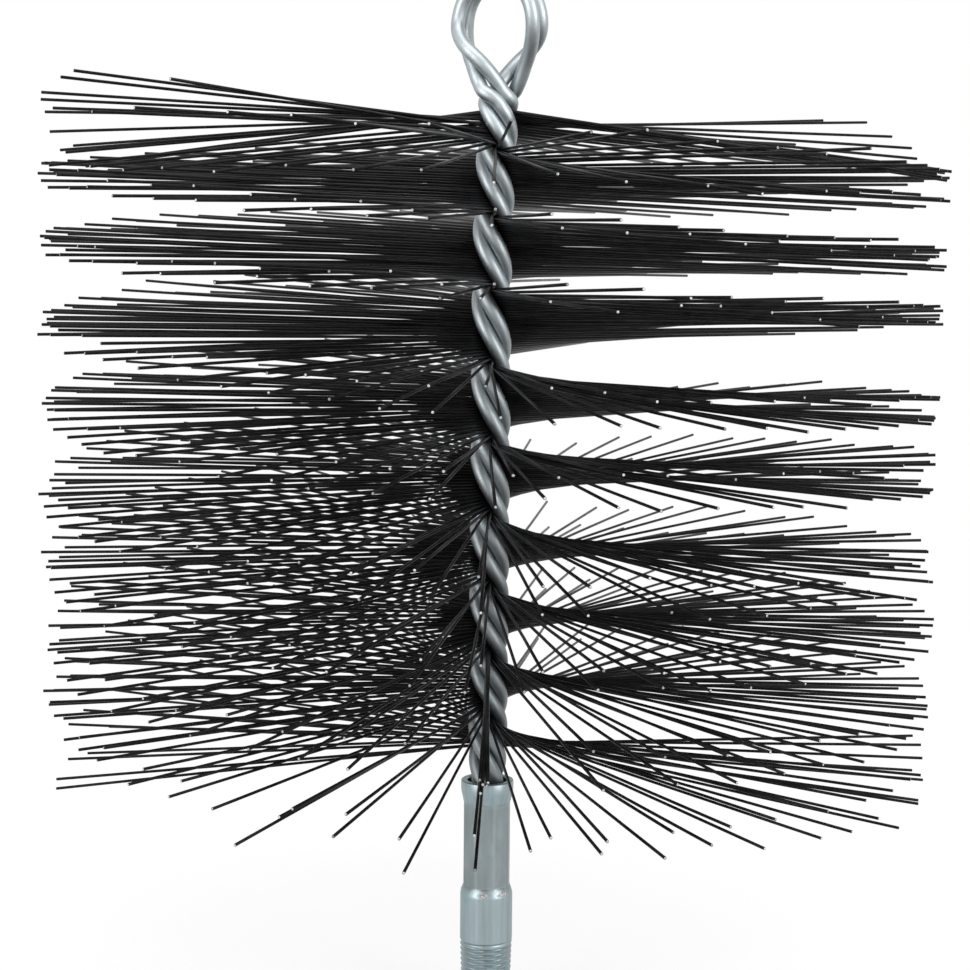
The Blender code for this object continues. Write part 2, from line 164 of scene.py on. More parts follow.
class Shader:
    """Node tree of one material or world, built up by expressions."""

    def __init__(self, tree: bpy.types.NodeTree) -> None:
        """Start from an empty tree."""
        self.tree = tree
        tree.nodes.clear()

    def node(
        self,
        kind: str,
        settings: dict[str, object] | None = None,
        inputs: dict[int | str, object] | None = None,
        output: int | str = 0,
    ) -> Value:
        """Add a node of any type.

        Args:
            kind: The node's type.
            settings: Properties of the node, set first.
            inputs: Values or links, by the socket's name or number.
            output: The output socket that is handed back.

        Returns:
            The chosen output.
        """
        made = self.tree.nodes.new(kind)
        for name, setting in (settings or {}).items():
            setattr(made, name, setting)
        for key, given in (inputs or {}).items():
            if isinstance(given, Value):
                self.tree.links.new(given.socket, made.inputs[key])
            else:
                made.inputs[key].default_value = given
        return Value(self, made.outputs[output] if len(made.outputs) else None)

    def place(self, scale: Sequence[float] = (1, 1, 1)) -> Value:
        """Object coordinates, stretched by a scale along each axis."""
        spot = self.node("ShaderNodeTexCoord", output="Object")
        return self.node("ShaderNodeMapping", inputs={"Vector": spot, "Scale": scale})

    def uv(self, scale: Sequence[float] = (1, 1, 1)) -> Value:
        """The piece's own UV map, stretched by a scale."""
        spot = self.node("ShaderNodeUVMap", {"uv_map": "along_wire"})
        return self.node("ShaderNodeMapping", inputs={"Vector": spot, "Scale": scale})

    def height(self) -> Value:
        """Height above the foot of the object."""
        return self.node("ShaderNodeSeparateXYZ", inputs={0: self.place()}, output=2)

    def sight(self) -> Value:
        """1 for what the camera sees, straight or by a reflection or through glass, else 0."""
        direct = self.node("ShaderNodeLightPath", output="Is Camera Ray")
        glossy = self.node("ShaderNodeLightPath", output="Is Glossy Ray")
        through = self.node("ShaderNodeLightPath", output="Is Transmission Ray")
        return 1 - (1 - direct) * (1 - glossy) * (1 - through)

    def noise(self, place: Value, scale: float, detail: float = 3, rough: float = 0.5) -> Value:
        """Noise from 0 to 1 at a place."""
        inputs = {"Vector": place, "Scale": scale, "Detail": detail, "Roughness": rough}
        return self.node("ShaderNodeTexNoise", inputs=inputs)

    def tint(self, share: Value, low: Value | Colour, high: Value | Colour) -> Value:
        """Colour between two others, each of them plain or itself varied."""
        first, last = (end if isinstance(end, Value) else (*end, 1) for end in (low, high))
        inputs = {0: share, 6: first, 7: last}
        return self.node("ShaderNodeMix", {"data_type": "RGBA"}, inputs, output=2)

    def bump(self, height: Value, strength: float, distance: float) -> Value:
        """Normal of a surface raised by a height."""
        inputs = {"Height": height, "Strength": strength, "Distance": distance}
        return self.node("ShaderNodeBump", inputs=inputs)

    def surface(self, colour: Value, metallic: float, dullness: Value | float, **more) -> None:
        """End the tree in one principled surface, with more sockets by their names."""
        inputs = {"Base Color": colour, "Metallic": metallic, "Roughness": dullness}
        inputs.update({name.replace("_", " "): given for name, given in more.items()})
        shaded = self.node("ShaderNodeBsdfPrincipled", inputs=inputs)
        self.node("ShaderNodeOutputMaterial", inputs={"Surface": shaded})


def new_shader(name: str) -> tuple[bpy.types.Material, Shader]:
    """Make an empty node material.

    Args:
        name: The material's name.

    Returns:
        The material and the shader that fills it.
    """
    material = bpy.data.materials.new(name)
    material.use_nodes = True
    return material, Shader(material.node_tree)


@dataclass(frozen=True)
class ZincPlate:
    """Bright zinc plating on steel tube, with a faint blue-green cast."""

    deep: Colour = (0.252, 0.306, 0.322)
    bright: Colour = (0.310, 0.372, 0.394)
    cast: Colour = (0.212, 0.318, 0.330)
    cast_share: float = 0.6
    pressed: Colour = (0.165, 0.172, 0.168)
    pressed_share: float = 0.2
    pressed_stain_share: float = 0.35
    pressed_from: float = 29 * MM
    pressed_to: float = 54 * MM
    pressed_edge: float = 2 * MM
    streak_scale: float = 900
    stain_scale: float = 130
    pit_scale: float = 2600
    metallic: float = 0.92
    least_roughness: float = 0.28
    relief: float = 0.03 * MM

    def material(self) -> bpy.types.Material:
        """Build the finish: drawn streaks up the tube, soft stains and fine pits."""
        material, shader = new_shader("zinc_plate")
        streaks = shader.noise(shader.place((1, 1, 0.06)), self.streak_scale, 4)
        stains = shader.noise(shader.place((1, 1, 0.5)), self.stain_scale, 4, 0.6)
        pits = shader.noise(shader.place(), self.pit_scale, 2)
        drawn = shader.tint(streaks.ramp(0.25, 0.75), self.deep, self.bright)
        plated = shader.tint(stains.ramp(0.45, 0.72) * self.cast_share, drawn, self.cast)
        level = shader.height()
        crimped = level.ramp(self.pressed_from, self.pressed_from + self.pressed_edge)
        crimped = crimped * (1 - level.ramp(self.pressed_to - self.pressed_edge, self.pressed_to))
        rubbed = stains.ramp(0.3, 0.6) * self.pressed_stain_share + self.pressed_share
        height = streaks * 0.5 + stains * 0.35 + pits * 0.3
        colour = shader.tint(crimped * rubbed, plated, self.pressed)
        roughness = stains * 0.16 + streaks * 0.1 + self.least_roughness
        normal = shader.bump(height, 0.35, self.relief)
        shader.surface(colour, self.metallic, roughness, Normal=normal)
        return material


@dataclass(frozen=True)
class CrimpBurr:
    """Bare bright metal raised where the crimping jaws bit into the tube."""

    deep: Colour = (0.24, 0.25, 0.25)
    bright: Colour = (0.62, 0.59, 0.59)
    tear_scale: float = 2200
    metallic: float = 0.75
    least_roughness: float = 0.25
    relief: float = 0.05 * MM

    def material(self) -> bpy.types.Material:
        """Build the finish: light and a little torn."""
        material, shader = new_shader("crimp_burr")
        torn = shader.noise(shader.place(), self.tear_scale, 4, 0.7)
        colour = shader.tint(torn.ramp(0.3, 0.7), self.deep, self.bright)
        roughness = torn * 0.3 + self.least_roughness
        normal = shader.bump(torn, 0.6, self.relief)
        shader.surface(colour, self.metallic, roughness, Normal=normal)
        return material


@dataclass(frozen=True)
class GalvanisedWire:
    """Smooth galvanised drawn wire, streaked along its length."""

    deep: Colour = (0.325, 0.360, 0.377)
    bright: Colour = (0.465, 0.505, 0.524)
    stain: Colour = (0.240, 0.265, 0.277)
    stain_share: float = 0.4
    # Painted shade: the wire darkens towards its foot, standing in for the shade that the bristles
    # cast on the lower stem. These give its colour, its share and the heights over which it fades
    # out.
    painted_shade: Colour = (0.130, 0.145, 0.152)
    painted_shade_share: float = 0.75
    painted_shade_to: float = 200 * MM
    painted_shade_from: float = 62 * MM
    streak_stretch: Point = (9, 60, 1)
    rub_stretch: Point = (120, 90, 1)
    blotch_scale: float = 260
    metallic: float = 0.95
    least_roughness: float = 0.39
    relief: float = 0.03 * MM

    def material(self) -> bpy.types.Material:
        """Build the finish: streaks and rubs along the wire, dull blotches, painted shade low down.
        """
        material, shader = new_shader("galvanised_wire")
        streaks = shader.noise(shader.uv(self.streak_stretch), 6, 4, 0.6)
        rubs = shader.noise(shader.uv(self.rub_stretch), 3, 3, 0.7)
        blotches = shader.noise(shader.place(), self.blotch_scale, 4, 0.6)
        drawn = shader.tint(streaks.ramp(0.3, 0.7), self.deep, self.bright)
        dull = (blotches.ramp(0.50, 0.72) + rubs.ramp(0.66, 0.74) * 0.5) * self.stain_share
        clean = shader.tint(dull, drawn, self.stain)
        # Painted shade, full below the lower height and gone above the upper one.
        shaded_low = (1 - shader.height().ramp(self.painted_shade_from, self.painted_shade_to)) * self.painted_shade_share
        height = streaks * 0.6 + blotches * 0.3 + rubs * 0.35
        colour = shader.tint(shaded_low, clean, self.painted_shade)
        roughness = blotches * 0.12 + streaks * 0.06 + self.least_roughness
        normal = shader.bump(height, 0.2, self.relief)
        shader.surface(colour, self.metallic, roughness, Normal=normal)
        return material


@dataclass(frozen=True)
class TemperedWire:
    """Black oil-tempered spring wire."""

    deep: Colour = (0.0022, 0.0022, 0.0025)
    bright: Colour = (0.0095, 0.0095, 0.0105)
    scuff_scale: float = 190
    grain_scale: float = 3000
    specular: float = 0.08
    least_roughness: float = 0.22
    relief: float = 0.02 * MM

    def material(self) -> bpy.types.Material:
        """Build the finish: near black, scuffed lighter here and there along each bristle."""
        material, shader = new_shader("tempered_wire")
        scuffs = shader.noise(shader.place(), self.scuff_scale, 4, 0.65)
        grain = shader.noise(shader.place(), self.grain_scale, 2)
        colour = shader.tint(scuffs.ramp(0.35, 0.75), self.deep, self.bright)
        roughness = scuffs * 0.2 + self.least_roughness
        normal = shader.bump(grain, 0.3, self.relief)
        shader.surface(colour, 0.0, roughness, Specular_IOR_Level=self.specular, Normal=normal)
        return material


@dataclass(frozen=True)
class CutEnd:
    """Bare steel on the cut ends of the bristles."""

    deep: Colour = (0.16, 0.16, 0.16)
    bright: Colour = (0.46, 0.46, 0.46)
    uneven_scale: float = 900
    metallic: float = 0.3
    roughness: float = 0.5

    def material(self) -> bpy.types.Material:
        """Build the finish: light, dull and a little uneven from one end to the next."""
        material, shader = new_shader("cut_end")
        uneven = shader.noise(shader.place(), self.uneven_scale, 2)
        colour = shader.tint(uneven.ramp(0.35, 0.65), self.deep, self.bright)
        shader.surface(colour, self.metallic, self.roughness)
        return material


@dataclass(frozen=True)
class Twist:
    """Left-handed twist of the four legs round the bristles, and the bend of its axis."""

    foot: float = 68 * MM
    length: float = 164 * MM
    turns: float = 4.543
    drift: float = math.radians(19.2)
    drift_centre_share: float = 0.54
    foot_angle: float = math.radians(-84.2)
    gain: float = math.radians(12)
    gain_run: float = 20 * MM
    gain_rise: float = 2 * MM
    eye_gain: float = math.radians(8)
    eye_gain_from: float = 229 * MM
    eye_gain_run: float = 6 * MM
    eye_run: float = 17.3 * MM
    eye_ease: float = 4.5 * MM
    eye_offset: float = 1.3 * MM
    bend_run: float = 50 * MM
    bend_rise: float = 8 * MM

    @property
    def top(self) -> float:
        """Height at which the bristles end."""
        return self.foot + self.length

    @property
    def pitch(self) -> float:
        """Mean height of one full turn."""
        return self.length / self.turns

    def turned(self, height: float) -> float:
        """Angle that the twist has turned at a height."""
        centre = self.foot + self.drift_centre_share * self.length
        drift = self.drift * math.sin(math.tau * (height - centre) / self.length)
        return math.tau * height / self.pitch - drift

    def angle(self, height: float) -> float:
        """Direction of the front wire's legs at a height. It stops turning at the eye."""
        gained = self.gain * ease((height - self.top - self.gain_rise) / self.gain_run + 1)
        gained += self.eye_gain * ease((height - self.eye_gain_from) / self.eye_gain_run)
        stop = self.top + self.eye_run
        past = height - stop + self.eye_ease
        if past > 2 * self.eye_ease:
            height = stop
        elif past > 0:
            height -= past * past / (4 * self.eye_ease)
        return self.foot_angle - self.turned(height) + self.turned(self.foot) - gained

    def bend(self, height: float) -> float:
        """Sideways offset of the stem's axis at a height."""
        start = self.top + self.bend_rise - self.bend_run
        return blend(0, self.eye_offset, (height - start) / self.bend_run)

    def quarter_turns(self, height: float) -> float:
        """Quarter turns from the foot of the bristles up to a height."""
        return (self.foot_angle - self.angle(height)) / (math.pi / 2)

    def across(self, height: float) -> Vector:
        """Unit direction from the axis to the front wire's legs."""
        return heading(self.angle(height))

    def along_bristles(self, height: float) -> Vector:
        """Unit direction of the bristles, square to the line between the wires."""
        return heading(self.angle(height) + math.pi / 2)


@dataclass
class CoreWires:
    """The two core wires, each bent double: eye, crossing under it, twisted stem and feet."""

    twist: Twist
    wire_radius: float = 1.83 * MM
    twin_half: float = 1.83 * MM
    pair_half: float = 2.86 * MM
    bare_half: float = 2.2 * MM
    bare_from: float = 59 * MM
    foot: float = 26 * MM
    eye_radius: float = 11.45 * MM
    shoulder_radius: float = 14.2 * MM
    smooth_rounds: int = 24
    smooth_from: float = 237 * MM
    squeeze: float = 0.9 * MM
    squeeze_at: float = 246.8 * MM
    squeeze_run: float = 5.5 * MM
    shoulder_swell: float = 0.65 * MM
    parting_rise: float = 1.5 * MM
    bundle_rise: float = 3.0 * MM
    crossing_rise: float = 7.2 * MM
    crossing_end_rise: float = 9.0 * MM
    bundle_share: float = 1.18
    closed_share: float = 1.36
    spread_share: float = 1.05
    spread_run: float = 12 * MM
    crossing_share: float = 1.04
    passing_lead: float = math.radians(50)
    passing_from: float = 1.0 * MM
    passing_run: float = 3.5 * MM
    passing_ease: float = 11.5 * MM
    steps_per_turn: int = 40
    parting_steps: int = 3
    eye_steps: int = 64
    shoulder_steps: int = 24
    side_steps: int = 6

    @property
    def parting(self) -> float:
        """Height at which the left legs and the right legs begin to part."""
        return self.twist.top + self.parting_rise

    @property
    def bundle_half(self) -> float:
        """Half the distance between the legs of a wire where they part."""
        return self.twin_half * self.bundle_share

    @property
    def eye_drop(self) -> float:
        """Height of the eye's centre over the place where the legs part."""
        reach = self.eye_radius + self.shoulder_radius
        return math.sqrt(reach**2 - (self.bundle_half + self.shoulder_radius) ** 2)

    @property
    def eye_swing(self) -> float:
        """Angle of the arc that leads from the bundle out to the round of the eye."""
        return math.asin(self.eye_drop / (self.eye_radius + self.shoulder_radius))

    def section_spot(self, half: float) -> tuple[float, float]:
        """Where a wire of a twisted pair cuts a level section, for a pair this far off axis."""
        lay = math.atan(math.tau * half / self.twist.pitch)
        beside = self.twin_half * math.cos(lay)
        turned = math.tau * self.twin_half * math.sin(lay) / self.twist.pitch
        turned += math.atan2(beside, half)
        reach = math.hypot(half, beside)
        return reach * math.cos(turned), reach * math.sin(turned)

    def half_between_wires(self, height: float) -> float:
        """Half the distance between the front wire's legs and the back wire's."""
        top = self.twist.top
        stem = self.section_spot(self.pair_half)[0]
        knots = (
            (self.bare_from, self.section_spot(self.bare_half)[0]),
            (self.twist.foot, stem),
            (top, stem),
            (top + self.bundle_rise, self.twin_half * self.closed_share),
            (top + self.crossing_rise, self.twin_half * self.crossing_share),
            (top + self.crossing_end_rise, self.twin_half),
        )
        return eased(height, knots)

    def half_between_legs(self, height: float) -> float:
        """Half the level distance between the two legs of a wire, up to where they part."""
        stem = self.section_spot(self.pair_half)[1]
        knots = (
            (self.bare_from, self.section_spot(self.bare_half)[1]),
            (self.twist.foot, stem),
            (self.twist.top - self.spread_run, stem),
            (self.twist.top, stem * self.spread_share),
            (self.parting, self.bundle_half),
        )
        return eased(height, knots)

    def squeezed(self, height: float) -> float:
        """How far the eye is pressed in at a height, most where it meets its shoulders."""
        return self.squeeze * (1 - ease(abs(height - self.squeeze_at) / self.squeeze_run))

    def middle_point(self, height: float, reach: float) -> Vector:
        """Middle between the two wires.

        Args:
            height: Height of the point.
            reach: Distance to the right of the stem's axis.

        Returns:
            The point, led ahead of the twist where the parting legs pass each other.
        """
        start = self.twist.top + self.passing_from
        peak = start + self.passing_run
        lead = eased(height, ((start, 0), (peak, self.passing_lead), (peak + self.passing_ease, 0)))
        point = reach * heading(self.twist.angle(height) + math.pi / 2 - lead)
        point.x += self.twist.bend(height)
        point.z = height
        return point

    def legs(self, leg: int) -> list[Vector]:
        """Middle of the two legs on one side, from their feet to where the sides part."""
        length = self.twist.top - self.foot
        steps = math.ceil(length / self.twist.pitch * self.steps_per_turn)
        heights = [self.foot + length * step / steps for step in range(steps)]
        for step in range(self.parting_steps + 1):
            heights.append(self.twist.top + self.parting_rise * step / self.parting_steps)
        return [self.middle_point(level, leg * self.half_between_legs(level)) for level in heights]

    def shoulder(self, leg: int) -> list[Vector]:
        """Middle of the two legs on one side where they swing out to the round of the eye."""
        points = []
        for step in range(1, self.shoulder_steps):
            turned = self.eye_swing * step / self.shoulder_steps
            reach = self.bundle_half + self.shoulder_radius * (1 - math.cos(turned))
            reach += self.shoulder_swell * math.sin(math.pi * step / self.shoulder_steps) ** 2
            height = self.parting + self.shoulder_radius * math.sin(turned)
            reach -= self.squeezed(height) * math.cos(self.eye_swing)
            points.append(self.middle_point(height, leg * reach))
        return points

    def eye(self) -> list[Vector]:
        """Middle of the two wires round the eye, from left over the top to right."""
        points = []
        for step in range(self.eye_steps + 1):
            share = step / self.eye_steps
            turned = math.pi + self.eye_swing - (math.pi + 2 * self.eye_swing) * share
            height = self.parting + self.eye_drop + self.eye_radius * math.sin(turned)
            radius = self.eye_radius - self.squeezed(height)
            points.append(self.middle_point(height, radius * math.cos(turned)))
        return points

    def smoothed(self, points: list[Vector]) -> list[Vector]:
        """Even out the sharper turns of a route over the crossing, as a stiff wire does."""
        for _ in range(self.smooth_rounds):
            rounder = list(points)
            for index in range(1, len(points) - 1):
                if points[index].z > self.smooth_from:
                    rounder[index] = (points[index - 1] + 2 * points[index] + points[index + 1]) / 4
            points = rounder
        return points

    def route(self, wire: int) -> list[Vector]:
        """Middle line of one wire: 1 for the front one, -1 for the back one."""
        middle = self.legs(-1) + self.shoulder(-1) + self.eye()
        middle += list(reversed(self.legs(1) + self.shoulder(1)))
        middle = self.smoothed(middle)
        squared_from = self.twist.top + self.bundle_rise
        squared_run = self.crossing_rise - self.bundle_rise
        points = []
        for index, point in enumerate(middle):
            run = middle[min(index + 1, len(middle) - 1)] - middle[max(index - 1, 0)]
            run.normalize()
            beside = self.twist.across(point.z)
            beside -= ease((point.z - squared_from) / squared_run) * beside.dot(run) * run
            points.append(point + wire * self.half_between_wires(point.z) * beside.normalized())
        return points

    def map_length(self, piece: bpy.types.Object, route: Sequence[Vector]) -> None:
        """Give a wire a UV map: metres along it, and the share of the way round it.

        Args:
            piece: The wire's mesh, ring after ring along its route.
            route: The points that the rings stand on.
        """
        lengths = [0.0]
        for near, far in zip(route, route[1:]):
            lengths.append(lengths[-1] + (far - near).length)
        sides = 2 * self.side_steps + 4
        rings = sides * len(route)
        layer = piece.data.uv_layers.new(name="along_wire")
        for face in piece.data.polygons:
            if min(face.vertices) + sides * 2 < max(face.vertices):
                continue
            closing = {0, sides - 1} <= {spot % sides for spot in face.vertices}
            for loop in face.loop_indices:
                spot = piece.data.loops[loop].vertex_index
                if spot >= rings:
                    continue
                side = spot % sides
                share = 1.0 if side == 0 and closing else side / sides
                layer.data[loop].uv = (lengths[spot // sides], share)

    def build(self, name: str, wire: int, finish: bpy.types.Material) -> bpy.types.Object:
        """Draw one wire along its route and make it a mesh.

        Args:
            name: The piece's name.
            wire: 1 for the front wire, -1 for the back one.
            finish: Its material.

        Returns:
            The finished piece.
        """
        route = self.route(wire)
        deselect_all()
        bpy.ops.curve.primitive_nurbs_path_add(location=(0, 0, 0))
        piece = bpy.context.object
        piece.name = name
        curve = piece.data
        curve.splines.clear()
        spline = curve.splines.new("POLY")
        spline.points.add(len(route) - 1)
        for spot, point in zip(spline.points, route):
            spot.co = (*point, 1)
        curve.dimensions = "3D"
        curve.bevel_depth = self.wire_radius
        curve.bevel_resolution = self.side_steps
        curve.use_fill_caps = True
        make_active(piece)
        bpy.ops.object.convert(target="MESH")
        piece = bpy.context.object
        self.map_length(piece, route)
        piece.data.materials.clear()
        piece.data.materials.append(finish)
        bpy.ops.object.shade_smooth_by_angle(angle=SMOOTH_BELOW)
        return piece


@dataclass
class BristleRows:
    """Straight steel bristles through the stem, in a double left-handed screw."""

    twist: Twist
    rows: int = 18
    per_row: int = 27
    first_step_share: float = 0.4
    step_share: float = 0.2
    radius: float = 0.37 * MM
    reach: float = 113 * MM
    layer_offset: float = 0.30 * MM
    end_bevel: float = 0.06 * MM
    end_facing: float = 0.9
    sides: int = 8
    runs: int = 3
    wander: float = math.radians(0.28)
    yaw_wander: float = math.radians(0.6)
    length_wander: float = 0.8 * MM
    bend_wander: float = 0.6 * MM
    seed: int = 7
    lean_unit: float = math.radians(1)
    first_lean_shares: tuple[float, ...] = (
        -1.5, -1.0, -0.3, 0.0, -0.3, -0.5, -0.5, 1.3, 1.4, 0.9,
        -0.2, -0.5, 1.4, 1.9, 1.4, 0.4, -1.0, -1.7, -3.0,
    )
    second_lean_shares: tuple[float, ...] = (
        -2.0, -0.5, -0.7, -1.9, -0.8, 0.3, -0.6, -1.2, -0.8, 0.0,
        -0.2, -0.4, 1.0, 0.3, -1.1, 0.0, 0.9, 1.4, -3.5,
    )
    first_split_shares: tuple[float, ...] = (
        2.5, 1.0, 1.3, 1.5, 1.5, 1.3, 1.5, 1.7, 1.9, 1.6,
        1.2, 1.6, 0.8, 0.9, 0.8, 1.0, 1.5, 2.5, 3.5,
    )
    second_split_shares: tuple[float, ...] = (
        2.5, 1.5, 1.5, 1.6, 1.5, 1.5, 1.6, 1.7, 1.5, 1.5,
        1.4, 1.6, 0.7, 1.0, 0.9, 0.5, 0.7, 1.2, 2.5,
    )
    stray_shares: dict[tuple[int, int], tuple[float, float]] = field(
        default_factory=lambda: {
            (28, 1): (-5.6, 0), (34, 1): (-5.8, 0), (9, 1): (-5.5, 0), (5, 1): (-4.6, 0),
            (1, -1): (-6.0, 0), (4, -1): (-5.2, 0), (26, 1): (-4.2, -0.3), (27, 1): (-0.5, 0.7),
            (74, -1): (-3.7, -6.8), (75, -1): (-3.5, -5.8),
            (77, -1): (-3.5, 0.9), (78, -1): (-3.6, 6.6),
            (466, 1): (4.3, 0), (472, 1): (5.2, 0), (473, 1): (4.4, 0), (476, 1): (2.6, 0),
            (477, 1): (1.3, 0), (478, 1): (0, 0), (479, 1): (-2.8, 0), (480, 1): (-4.9, 0),
            (481, 1): (-5.4, 0), (482, 1): (-5.0, 0), (484, 1): (-6.0, 0), (485, 1): (-7.0, 0),
            (471, -1): (3.1, 0), (473, -1): (1.3, 0), (476, -1): (-2.4, 0), (477, -1): (-4.1, 0),
            (479, -1): (-6.0, 0), (480, -1): (-7.0, 0), (481, -1): (-6.6, 0), (482, -1): (-7.5, 0),
            (483, -1): (-7.2, 0), (484, -1): (-8.0, 0), (485, -1): (-8.5, 0),
        }
    )

    def pattern(self, finishes: Sequence[bpy.types.Material]) -> bpy.types.Object:
        """Model one half bristle upright from the origin, with its cut end dressed bare.

        Args:
            finishes: Materials of the wire and of its cut end.

        Returns:
            The pattern that every bristle copies.
        """
        deselect_all()
        middle = (0, 0, self.reach / 2)
        bpy.ops.mesh.primitive_cylinder_add(
            vertices=self.sides, radius=self.radius, depth=self.reach, location=middle
        )
        piece = bpy.context.object
        bpy.ops.object.transform_apply(location=True, rotation=True, scale=True)
        for finish in finishes:
            piece.data.materials.append(finish)
        bpy.ops.object.mode_set(mode="EDIT")
        for run in range(1, self.runs):
            bpy.ops.mesh.select_all(action="SELECT")
            level = (0, 0, self.reach * run / self.runs)
            bpy.ops.mesh.bisect(plane_co=level, plane_no=(0, 0, 1))
        bpy.ops.mesh.select_all(action="DESELECT")
        bpy.ops.object.mode_set(mode="OBJECT")
        for edge in piece.data.edges:
            ends = [piece.data.vertices[spot].co.z for spot in edge.vertices]
            edge.select = min(ends) > self.reach - self.end_bevel
        bpy.ops.object.mode_set(mode="EDIT")
        bpy.context.tool_settings.mesh_select_mode = (False, True, False)
        bpy.ops.mesh.bevel(offset=self.end_bevel, segments=1)
        bpy.ops.object.mode_set(mode="OBJECT")
        for face in piece.data.polygons:
            face.material_index = int(face.normal.z > self.end_facing)
        bpy.ops.object.shade_smooth_by_angle(angle=SMOOTH_BELOW)
        return piece

    def lean(self, number: int, height: float, layer: int, end: int) -> float:
        """Angle at which one half of a bristle rises from the stem.

        Each end of the bristles has its own run of leans up the brush, one knot for each
        quarter turn, and its two layers stand a little over and under that run.

        Args:
            number: The bristle's number, from the foot up.
            height: Where it crosses the stem.
            layer: -1 or 1, the side of the bed that it lies on.
            end: -1 or 1, the way that it points.

        Returns:
            The angle over the level.
        """
        if (number, end) in self.stray_shares:
            return self.stray_shares[number, end][0] * self.lean_unit
        leans = self.first_lean_shares if end > 0 else self.second_lean_shares
        splits = self.first_split_shares if end > 0 else self.second_split_shares
        quarters = self.twist.quarter_turns(height)
        knots = range(len(leans))
        middle = float(np.interp(quarters, knots, leans))
        split = float(np.interp(quarters, knots, splits))
        return (middle - end * layer * split) * self.lean_unit

    def half(
        self, pattern: bpy.types.Object, height: float, layer: int, end: int, lean: float,
        turn_aside: float, draw: random.Random,
    ) -> bpy.types.Object:
        """Lay one half of a bristle from the stem to its cut end.

        Args:
            pattern: The half bristle to copy.
            height: Where it crosses the stem.
            layer: -1 or 1, the side of the bed that it lies on.
            end: -1 or 1, the way that it points.
            lean: How steeply it rises.
            turn_aside: How far it is turned out of the row.
            draw: The source of its small errors.

        Returns:
            The laid copy.
        """
        tilt = lean + draw.gauss(0, self.wander)
        outward = (end * self.twist.along_bristles(height)).to_2d()
        yaw = math.atan2(outward.y, outward.x) + turn_aside + draw.gauss(0, self.yaw_wander)
        run = math.cos(tilt) * heading(yaw) + math.sin(tilt) * Vector((0, 0, 1))
        copy = pattern.copy()
        copy.data = pattern.data.copy()
        bpy.context.scene.collection.objects.link(copy)
        bow = draw.gauss(0, self.bend_wander)
        bow_way = draw.uniform(0, math.tau)
        for spot in copy.data.vertices:
            share = (spot.co.z / self.reach) ** 2
            spot.co.x += bow * math.cos(bow_way) * share
            spot.co.y += bow * math.sin(bow_way) * share
        start = self.layer_offset * layer * self.twist.across(height)
        start.x += self.twist.bend(height)
        start.z = height
        start += run * draw.gauss(-self.length_wander, self.length_wander)
        turn = run.to_track_quat("Z", "Y").to_matrix().to_4x4()
        copy.data.transform(Matrix.Translation(start) @ turn)
        return copy

    def build_row(
        self, pattern: bpy.types.Object, row: int, draw: random.Random
    ) -> bpy.types.Object:
        """Lay one row of bristles, two by two side by side, and join it into one piece.

        Args:
            pattern: The half bristle to copy.
            row: The row's number, from 0 at the foot.
            draw: The source of its small errors.

        Returns:
            The joined row.
        """
        spacing = 2 * self.twist.length / (self.rows * self.per_row)
        copies = []
        for number in range(row * self.per_row, (row + 1) * self.per_row):
            layer = 1 if number % 2 else -1
            beside = self.first_step_share + self.step_share * (1 if layer > 0 else 0)
            height = self.twist.foot + (number // 2 + beside) * spacing
            for end in (-1, 1):
                lean = self.lean(number, height, layer, end)
                aside = self.stray_shares.get((number, end), (0, 0))[1] * self.lean_unit
                copies.append(self.half(pattern, height, layer, end, lean, aside, draw))
        deselect_all()
        for copy in copies:
            copy.select_set(True)
        bpy.context.view_layer.objects.active = copies[0]
        bpy.ops.object.join()
        piece = bpy.context.object
        piece.name = f"steel_bristles_{row + 1:02d}"
        return piece

    def build(self, finishes: Sequence[bpy.types.Material]) -> list[bpy.types.Object]:
        """Lay all the rows.

        Args:
            finishes: Materials of the wire and of its cut end.

        Returns:
            One piece a row, from the foot up.
        """
        draw = random.Random(self.seed)
        pattern = self.pattern(finishes)
        rows = [self.build_row(pattern, row, draw) for row in range(self.rows)]
        bpy.data.objects.remove(pattern)
        return rows


